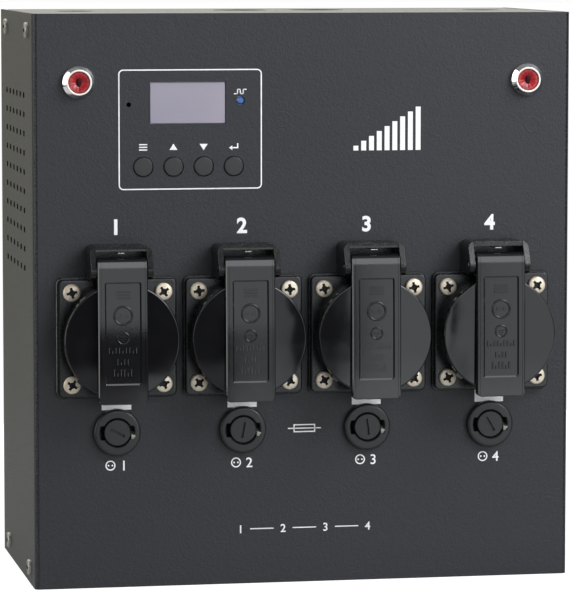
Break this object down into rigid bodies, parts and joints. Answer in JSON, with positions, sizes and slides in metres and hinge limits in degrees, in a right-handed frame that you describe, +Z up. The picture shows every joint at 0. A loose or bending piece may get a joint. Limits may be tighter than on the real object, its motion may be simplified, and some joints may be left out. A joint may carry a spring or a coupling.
{
  "type": "dimmer pack",
  "caption": "Upright sheet-steel dimmer pack with hinged-lid mains sockets, screw-cap fuses, indicator lamps, a display with push buttons, side vents and top data connectors.",
  "frame": {"origin": "middle of the bounding box's bottom face, on the surface the pack stands on", "axes": "+Z up, -Y out of the front panel, +X to the right seen from the front"},
  "size_m": [0.226, 0.1322, 0.237],
  "materials": {
    "coated_steel": "fine textured dark grey powder coat",
    "black_moulding": "satin black moulding",
    "gloss_moulding": "glossy black moulding",
    "bright_steel": "pale yellow passivated steel",
    "chrome": "polished",
    "red_lens": "transparent red lens",
    "blue_lens": "blue lens",
    "smoked_window": "clear window over a grey display",
    "board": "green circuit board",
    "aluminium": "bare extruded",
    "pale_moulding": "pale moulding",
    "rubber": "black rubber",
    "fuse_glass": "glass tube with metal ends"
  },
  "bodies": {
    "housing": {"front_cover": "coated_steel", "rear_chassis": "coated_steel", "socket_body_1": "black_moulding", "lid_hinge_pin_1": "bright_steel", "socket_1_screw_1": "bright_steel", "socket_1_screw_2": "bright_steel", "socket_1_screw_3": "bright_steel", "socket_1_screw_4": "bright_steel", "fuse_holder_1": "black_moulding", "socket_body_2": "black_moulding", "lid_hinge_pin_2": "bright_steel", "socket_2_screw_1": "bright_steel", "socket_2_screw_2": "bright_steel", "socket_2_screw_3": "bright_steel", "socket_2_screw_4": "bright_steel", "fuse_holder_2": "black_moulding", "socket_body_3": "black_moulding", "lid_hinge_pin_3": "bright_steel", "socket_3_screw_1": "bright_steel", "socket_3_screw_2": "bright_steel", "socket_3_screw_3": "bright_steel", "socket_3_screw_4": "bright_steel", "fuse_holder_3": "black_moulding", "socket_body_4": "black_moulding", "lid_hinge_pin_4": "bright_steel", "socket_4_screw_1": "bright_steel", "socket_4_screw_2": "bright_steel", "socket_4_screw_3": "bright_steel", "socket_4_screw_4": "bright_steel", "fuse_holder_4": "black_moulding", "lamp_bezel_left": "chrome", "lamp_lens_left": "red_lens", "lamp_bezel_right": "chrome", "lamp_lens_right": "red_lens", "display_window": "smoked_window", "signal_lamp": "blue_lens", "control_board": "board", "power_board": "board", "heat_sink": "aluminium", "mains_terminal_block": "pale_moulding", "data_inlet": "black_moulding", "data_outlet": "black_moulding", "cable_grommet_left": "rubber", "cable_grommet_right": "rubber"},
    "lid_1": {"socket_lid_1": "gloss_moulding"},
    "fuse_1": {"fuse_link_1": "fuse_glass"},
    "cap_1": {"fuse_cap_1": "black_moulding"},
    "plunger_1": {"button_1": "black_moulding"},
    "lid_2": {"socket_lid_2": "gloss_moulding"},
    "fuse_2": {"fuse_link_2": "fuse_glass"},
    "cap_2": {"fuse_cap_2": "black_moulding"},
    "plunger_2": {"button_2": "black_moulding"},
    "lid_3": {"socket_lid_3": "gloss_moulding"},
    "fuse_3": {"fuse_link_3": "fuse_glass"},
    "cap_3": {"fuse_cap_3": "black_moulding"},
    "plunger_3": {"button_3": "black_moulding"},
    "lid_4": {"socket_lid_4": "gloss_moulding"},
    "fuse_4": {"fuse_link_4": "fuse_glass"},
    "cap_4": {"fuse_cap_4": "black_moulding"},
    "plunger_4": {"button_4": "black_moulding"}
  },
  "joints": [
    {"name": "lid_1_hinge", "type": "hinge", "parent": "housing", "child": "lid_1", "pos_m": [-0.0789, -0.0611, 0.1333], "axis": [-1, 0, 0], "range_deg": [0, 120], "stiffness_Nm_per_rad": 0.01, "springref_deg": -57.3},
    {"name": "lid_2_hinge", "type": "hinge", "parent": "housing", "child": "lid_2", "pos_m": [-0.0263, -0.0611, 0.1333], "axis": [-1, 0, 0], "range_deg": [0, 120], "stiffness_Nm_per_rad": 0.01, "springref_deg": -57.3},
    {"name": "lid_3_hinge", "type": "hinge", "parent": "housing", "child": "lid_3", "pos_m": [0.0263, -0.0611, 0.1333], "axis": [-1, 0, 0], "range_deg": [0, 120], "stiffness_Nm_per_rad": 0.01, "springref_deg": -57.3},
    {"name": "lid_4_hinge", "type": "hinge", "parent": "housing", "child": "lid_4", "pos_m": [0.0789, -0.0611, 0.1333], "axis": [-1, 0, 0], "range_deg": [0, 120], "stiffness_Nm_per_rad": 0.01, "springref_deg": -57.3},
    {"name": "fuse_1_pull", "type": "slide", "parent": "housing", "child": "fuse_1", "axis": [0, -1, 0], "range_m": [0, 0.03]},
    {"name": "fuse_cap_1_turn", "type": "hinge", "parent": "fuse_1", "child": "cap_1", "pos_m": [-0.0789, -0.0479, 0.0648], "axis": [0, -1, 0], "range_deg": [0, 90]},
    {"name": "fuse_2_pull", "type": "slide", "parent": "housing", "child": "fuse_2", "axis": [0, -1, 0], "range_m": [0, 0.03]},
    {"name": "fuse_cap_2_turn", "type": "hinge", "parent": "fuse_2", "child": "cap_2", "pos_m": [-0.0263, -0.0479, 0.0648], "axis": [0, -1, 0], "range_deg": [0, 90]},
    {"name": "fuse_3_pull", "type": "slide", "parent": "housing", "child": "fuse_3", "axis": [0, -1, 0], "range_m": [0, 0.03]},
    {"name": "fuse_cap_3_turn", "type": "hinge", "parent": "fuse_3", "child": "cap_3", "pos_m": [0.0263, -0.0479, 0.0648], "axis": [0, -1, 0], "range_deg": [0, 90]},
    {"name": "fuse_4_pull", "type": "slide", "parent": "housing", "child": "fuse_4", "axis": [0, -1, 0], "range_m": [0, 0.03]},
    {"name": "fuse_cap_4_turn", "type": "hinge", "parent": "fuse_4", "child": "cap_4", "pos_m": [0.0789, -0.0479, 0.0648], "axis": [0, -1, 0], "range_deg": [0, 90]},
    {"name": "button_1_press", "type": "slide", "parent": "housing", "child": "plunger_1", "axis": [0, 1, 0], "range_m": [0, 0.0008], "stiffness_N_per_m": 1000, "springref_m": -0.0005},
    {"name": "button_2_press", "type": "slide", "parent": "housing", "child": "plunger_2", "axis": [0, 1, 0], "range_m": [0, 0.0008], "stiffness_N_per_m": 1000, "springref_m": -0.0005},
    {"name": "button_3_press", "type": "slide", "parent": "housing", "child": "plunger_3", "axis": [0, 1, 0], "range_m": [0, 0.0008], "stiffness_N_per_m": 1000, "springref_m": -0.0005},
    {"name": "button_4_press", "type": "slide", "parent": "housing", "child": "plunger_4", "axis": [0, 1, 0], "range_m": [0, 0.0008], "stiffness_N_per_m": 1000, "springref_m": -0.0005}
  ]
}
